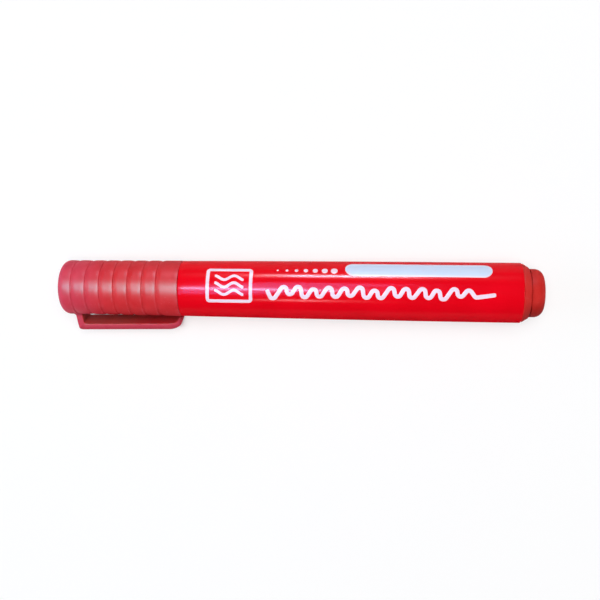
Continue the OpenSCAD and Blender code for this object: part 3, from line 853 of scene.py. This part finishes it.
def makePlug():
    # turned once round the axis
    s = plugShape
    line = rounded(s["outline"], steps=9)
    along, radius = line[:, :1], line[:, 1:]
    inner, outer = s["grooveRadii"]
    groove = bell(along - s["grooveAt"], s["grooveWidth"]) * (radius > inner) * (radius < outer)
    # painted shade in the groove, stronger on the low side by the clip, and over the collar and peg on that
    # side
    turns = around(s["columns"])[None, :]
    low = smooth(np.cos(turns - radians(s["lowTurn"])) * s["lowGain"] - s["lowFloor"])
    stainAndShade = s["stainAndShade"] + s["pegShade"] * fadeIn(along, *s["pegFade"])
    stainAndShade = stainAndShade * (along > s["shadeStart"]) * (radius > s["shadeInner"]) * low
    groove = np.maximum(groove * (s["grooveShade"] + (1 - s["grooveShade"]) * low), stainAndShade)
    collar = bell(along - s["tintAt"], s["tintWidth"]) * (radius > s["tintInner"])
    return lathe("tailPlug", line, s["columns"], marks={"groove": groove, "collar": collar})


carry(makeBarrel(), barrelGloss, "pen", "barrel_gloss", "barrel")
carry(makeHolder(), plugPlastic, "pen", "holder_plastic", "nib_holder")
carry(makeNib(), nibFibre, "pen", "nib_fibre", "nib")
carry(makeReservoir(), coreFibre, "pen", "reservoir_fibre", "ink_reservoir")
carry(makeSleeve(), clearFilm, "pen", "sleeve_film", "reservoir_sleeve")
carry(makePlug(), plugPlastic, "pen", "tail_plastic", "tail_plug")
print("pen: barrel, holder, nib, reservoir, film and tail plug")

# print on the barrel: plain marks, drawn unrolled as (along, up), where up is the arc from the top line
inkShape = dict(lift=0.024, sink=0.03, bevel=0.05, edgeLift=0.4, columns=5, step=0.12)


def onBarrel(along, up, lift):
    # the turn from the top line is the arc over the radius
    radius = barrelRadius(along)
    return place(along, radius + lift, pi * 1.5 - radians(lie["dip"]) - up / radius)


def band(path, half, closed=False, columns=inkShape["columns"]):
    # a flat section carried along a path: its sides go out by the half width, square to the path, its rim is
    # bevelled and its underside is sunk into the barrel
    s = inkShape
    ahead = np.roll(path, -1, 0) - np.roll(path, 1, 0) if closed else np.gradient(path, axis=0)
    share = np.hstack([[-1, -1], np.linspace(-1, 1, columns), [1, 1, 0]])
    inset = np.hstack([[0, 0], np.full(columns, s["bevel"]), [0, 0, 0]])
    edge = s["lift"] * s["edgeLift"]
    lift = np.hstack([[-s["sink"], edge], np.full(columns, s["lift"]), [edge, -s["sink"], -s["sink"]]])
    offset = share[None] * np.maximum(half[:, None] - inset[None], 0)
    spot = path[:, None] - rightOf(ahead)[:, None] * offset[..., None]
    return onBarrel(spot[..., 0], spot[..., 1], lift[None])


def roundEnds(t, length, half):
    # the half width falls to nothing in a half circle at both ends
    d = np.minimum(np.minimum(t, length - t), half)
    return np.sqrt(np.maximum(half ** 2 - (half - d) ** 2, 0))


# a frame with rounded corners
frameShape = dict(along=49.75, up=1.37, halfLength=6.1, halfHeight=4.65, corner=0.6, width=0.95)


def makeFrame():
    # a closed band through four rounded corners
    s = frameShape
    corners = [(s["along"] + x * s["halfLength"], s["up"] + y * s["halfHeight"], s["corner"])
               for x, y in ((-1, -1), (1, -1), (1, 1), (-1, 1))]
    path = even(rounded(corners, steps=12), inkShape["step"], closed=True)[0]
    return skin("printFrame", band(path, np.full(len(path), s["width"] / 2), True), "loop")


# three waves in the frame
waveShape = dict(reach=4.2, periods=1.5, height=0.62, width=0.8, rows=(2.1, 0.0, -2.1), points=90)


def makeWaves():
    # bands along a sine
    s = waveShape
    t = np.linspace(-s["reach"], s["reach"], s["points"])
    wave = s["height"] * np.sin(t * s["periods"] * pi / s["reach"])
    path = even(np.stack([t, wave], -1), inkShape["step"])[0]
    length = 2 * s["reach"]
    half = roundEnds(np.linspace(0, length, len(path)), length, s["width"] / 2)
    rows = [band(path + (frameShape["along"], frameShape["up"] + row), half) for row in s["rows"]]
    return skin("printWaves", np.stack(rows))


# a scribble: slanted strokes up and down, a little uneven, which grow shorter and run out level
scribbleShape = dict(
    start=61.6, end=123.2, up=-0.35, height=2.85, width=1.15, turns=27, corner=0.85,
    slant=0.26, leadIn=(-1.2, 0.6), leadOut=-0.1, first=1.1, spare=6.5,
    unevenHeight=(0.10, 2.3), unevenStep=(0.25, 1.7), shrink=0.75, shrinkFade=(22, 5))


def makeScribble():
    # a band through rounded corners, by turns below and above a line; sines make them uneven
    s = scribbleShape
    k = np.arange(s["turns"])
    much, often = s["unevenHeight"]
    height = s["height"] * (1 + much * np.sin(often * k)) * (1 - s["shrink"] * fadeIn(k, *s["shrinkFade"]))
    much, often = s["unevenStep"]
    steps = (s["end"] - s["start"] - s["spare"]) * k / (s["turns"] - 1)
    along = s["start"] + s["first"] + steps + much * np.sin(often * k)
    high = np.where(k % 2 == 0, -1, 1) * height
    corners = [(s["start"] + s["leadIn"][0], s["up"] + s["leadIn"][1], 0)]
    corners += [(a + s["slant"] * v, s["up"] + v, s["corner"]) for a, v in zip(along, high)]
    corners += [(s["end"], s["up"] + s["leadOut"], 0)]
    path, t, length = even(rounded(corners, steps=8), inkShape["step"])
    return skin("printScribble", band(path, roundEnds(t, length, s["width"] / 2)))


# a blank pale pill with a white rim
pillShape = dict(start=82.0, end=122.4, up=7.0, endUp=6.9, half=2.5, step=0.1, columns=41,
                 rim=0.55, rimInset=0.2)


def makePill():
    # a straight band with round ends, whose rim fades on the way in from its edge
    s = pillShape
    path, t, length = even(np.array([(s["start"], s["up"]), (s["end"], s["endUp"])]), s["step"])
    half = roundEnds(t, length, s["half"])
    share = np.hstack([[1, 1], np.abs(np.linspace(-1, 1, s["columns"])), [1, 1, 1]])
    rim = 1 - smooth(half[:, None] * (1 - share[None]) / s["rim"] - s["rimInset"])
    return skin("printPill", band(path, half, columns=s["columns"]), marks={"rim": rim})


# dots that grow along a row
dotShape = dict(start=63.2, end=79.0, up=6.1, radii=(0.28, 0.95), count=7, points=40)


def makeDots():
    # each dot is a band whose half width follows a circle
    s = dotShape
    f = np.linspace(-1, 1, s["points"])
    spots = np.linspace(s["start"], s["end"], s["count"])
    radii = np.linspace(*s["radii"], s["count"])
    half = np.sqrt(np.maximum(1 - f * f, 0))
    dots = [band(np.stack([spot + r * f, np.full(len(f), s["up"])], -1), r * half)
            for spot, r in zip(spots, radii)]
    return skin("printDots", np.stack(dots))


for make in (makeFrame, makeWaves, makeScribble, makePill, makeDots):
    carry(make(), inkBlue if make is makePill else inkWhite, "pen")
print("print: frame, waves, scribble, pill and dots")

# the solids that the pieces stand for get the same finishes
solids = dict(cap=capPlastic, cap_liner=linerPlastic, barrel=barrelGloss, nib_holder=plugPlastic,
              nib=nibFibre, ink_reservoir=coreFibre, reservoir_sleeve=clearFilm, tail_plug=plugPlastic)
for node, material in solids.items():
    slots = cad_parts[node].data.materials
    slots.clear()
    slots.append(material)

# camera: nearly straight down, from a little to the right of the marker's middle and behind it; turn is a
# rotation vector in degrees, lens and sensor are in millimetres
cameraShape = dict(spot=(0.022746, 0.008863, 0.261434), turn=(-2.1338, 5.0318, 0.7336), lens=53.354,
                   sensor=36.0, near=0.01, far=20)


def makeCamera():
    s = cameraShape
    eye = add("eye", bpy.data.cameras.new("eye"))
    eye.data.lens, eye.data.sensor_width = s["lens"], s["sensor"]
    eye.data.clip_start, eye.data.clip_end = s["near"], s["far"]
    turn = Vector([radians(v) for v in s["turn"]])
    turned = Quaternion(turn.normalized(), turn.length).to_matrix().to_4x4()
    eye.matrix_world = Matrix.Translation(s["spot"]) @ turned
    scene.camera = eye


makeCamera()

# floor: a pale sheet, just under the marker, that shows white to the camera where no shadow falls. It glows
# less near the marker, and not at all under it and in the clip's gap, given as (low, high, fade)
floorShape = dict(
    size=2.5, points=9, drop=0.00002, white=(0.94, 0.94, 0.94), cream=(0.92, 0.92, 0.93), cloud=(30.0, 3.0),
    glow=(1, 1, 1), near=0.62, far=(0.25, 0.9),
    underX=(-0.070, 0.070, 0.014), underReach=0.0086, underFade=0.8,
    gapX=(-0.064, -0.034, 0.002), gapY=(-0.0103, 0.0, 0.002))


def between(value, low, high, fade):
    # 0 outside low and high, rising to 1 over the fade inside both ends
    return value.span(low, low + fade) - value.span(high - fade, high)


def anyOf(first, *others):
    # the largest of the values
    for other in others:
        first = first.calc("MAXIMUM", first, other)
    return first


def shown(wire):
    # 1 for rays from the camera, and for what gloss or clear film shows it
    rays = ("Is Camera Ray", "Is Glossy Ray", "Is Transmission Ray")
    return anyOf(*[wire.node("LightPath", out=ray) for ray in rays])


def paintFloor():
    s = floorShape
    material = bpy.data.materials.new("floorPaper")
    material.use_nodes = True
    tree = material.node_tree
    tree.nodes.remove(tree.nodes["Principled BSDF"])
    w = Wire(tree)
    spot = w.node("TexCoord", out="Object")
    paper = w.node("BsdfDiffuse", {}, {"Color": spot.noise(*s["cloud"]).mix(s["white"], s["cream"])})
    glow = w.node("Emission", {}, {"Color": s["glow"], "Strength": 1.0})
    away = w.node("VectorMath", {"operation": "LENGTH"}, {0: spot}, "Value").span(*s["far"])
    x, y = [w.node("SeparateXYZ", {}, {0: spot}, k) for k in "XY"]
    middle, reach = lie["axisY"] * millimetre, s["underReach"]
    under = between(x, *s["underX"]) * between(y, middle - reach, middle + reach, s["underFade"] * reach)
    gap = between(x, *s["gapX"]) * between(y, *s["gapY"])
    share = shown(w) * (s["near"] + away * (1 - s["near"])) * (1 - anyOf(under, gap))
    both = w.node("MixShader", {}, {0: share, 1: paper, 2: glow})
    tree.links.new(both.socket, tree.nodes["Material Output"].inputs["Surface"])
    return material


def makeFloor():
    # a square grid at one level
    s = floorShape
    n = s["points"]
    x, y = np.meshgrid(*[np.linspace(-s["size"], s["size"], n)] * 2)
    points = np.stack([x, y, np.full(x.shape, -s["drop"])], -1).reshape(-1, 3)
    number = np.arange(n * n).reshape(n, n)
    quads = np.stack([number[:-1, :-1], number[:-1, 1:], number[1:, 1:], number[1:, :-1]], -1).reshape(-1, 4)
    mesh = bpy.data.meshes.new("floor")
    mesh.from_pydata(points.tolist(), [], quads.tolist())
    mesh.materials.append(paintFloor())
    floor = add("floor", mesh)
    floor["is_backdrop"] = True


makeFloor()

# light: soft panels (spot, aim, size, watts, tint, kind, pieces), in metres. A gloss panel only shows as a
# reflection, a matte one never does, and one that names pieces lights those alone
onCap, onBody = ("cap",), ("barrel", "print")
lightShape = dict(
    overhead=((0.10, 0.12, 1.1), (0, 0, 0), (0.8, 0.8), 13.0, (1.0, 0.99, 0.98), "matte", ()),
    capLamp=((-0.160, 0.024, 0.62), (-0.05, 0, 0), (0.18, 0.50), 8.2, (0.06, 0.92, 1.0), "gloss", onCap),
    capHalo=((-0.160, 0.024, 0.62), (-0.05, 0, 0), (0.22, 1.10), 15.0, (0.06, 0.92, 1.0), "gloss", onCap),
    lipLamp=((-0.045, 0.024, 0.62), (-0.05, 0, 0), (0.07, 0.50), 11.0, (0.20, 0.92, 1.0), "gloss", onCap),
    barrelLamp=((-0.108, 0.020, 0.62), (-0.03, 0, 0), (0.07, 0.19), 4.5, (0.30, 0.56, 0.95),
                "gloss", onBody),
    barrelHalo=((-0.106, 0.060, 0.62), (-0.036, 0.04, 0), (0.60, 0.15), 5.4, (0.02, 0.36, 1.0),
                "gloss", onBody),
    window=((-0.018, 0.592, 0.361), (0.012, 0.006, 0.0155), (0.138, 0.085), 5.8, (0.75, 0.80, 1.0),
            "gloss", ()),
    lowStrip=((-0.068, -0.445, 0.529), (-0.001, -0.001, 0.016), (0.05, 0.05), 0.5, (0.90, 0.92, 1.0),
              "gloss", ()),
    leftGleam=((-0.62, 0.0, 0.50), (0, 0, 0.01), (0.20, 0.16), 3.0, (0.9, 0.95, 1.0), "gloss", onBody),
    rightGleam=((0.62, 0.0, 0.50), (0, 0, 0.01), (0.20, 0.16), 3.0, (0.9, 0.95, 1.0), "gloss", onBody),
    leftFill=((-0.7, 0.0, 0.25), (-0.05, 0, 0.01), (0.5, 0.4), 2.4, (0.65, 0.82, 1.0), "both", ()))


def makeLights():
    for name, (spot, aim, size, watts, tint, kind, pieces) in lightShape.items():
        data = bpy.data.lights.new(name, "AREA")
        data.shape, data.energy, data.color = "RECTANGLE", watts, tint
        data.size, data.size_y = size
        data.cycles.use_multiple_importance_sampling = kind != "matte"
        lamp = add(name, data)
        turned = (Vector(aim) - Vector(spot)).to_track_quat("-Z", "Y").to_matrix().to_4x4()
        lamp.matrix_world = Matrix.Translation(spot) @ turned
        lamp.visible_glossy, lamp.visible_diffuse = kind != "matte", kind != "gloss"
        lamp.visible_camera = False
        if pieces:
            lit = bpy.data.collections.new(name)
            lamp.light_linking.receiver_collection = lit
            for piece in [o for o in scene.objects if o.type == "MESH" and o.name.startswith(pieces)]:
                lit.objects.link(piece)


makeLights()

# room: dim, and darker overhead; its horizon is white, as the floor is, where it is seen or mirrored
roomShape = dict(low=(0.12, 0.12, 0.13), high=(0.05, 0.05, 0.06), highSpan=(0.15, 0.9),
                 horizon=(1, 1, 1), horizonSpan=(0.06, 0.12))


def makeRoom():
    s = roomShape
    world = bpy.data.worlds.new("room")
    world.use_nodes = True
    scene.world = world
    tree = world.node_tree
    w = Wire(tree)
    up = w.node("SeparateXYZ", {}, {0: w.node("TexCoord", out="Generated")}, "Z")
    shade = up.span(*s["highSpan"]).mix(s["low"], s["high"])
    shade = (shown(w) * (1 - up.span(*s["horizonSpan"]))).mix(shade, s["horizon"])
    tree.links.new(shade.socket, tree.nodes["Background"].inputs["Color"])


makeRoom()
print("stage: camera, floor, room and", len(lightShape), "lights")

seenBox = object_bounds()
for name, box in (("visual", seenBox), ("cad", cadBox)):
    print("size:", name, [round(v / millimetre, 2) for v in box[1] - box[0]], "mm")
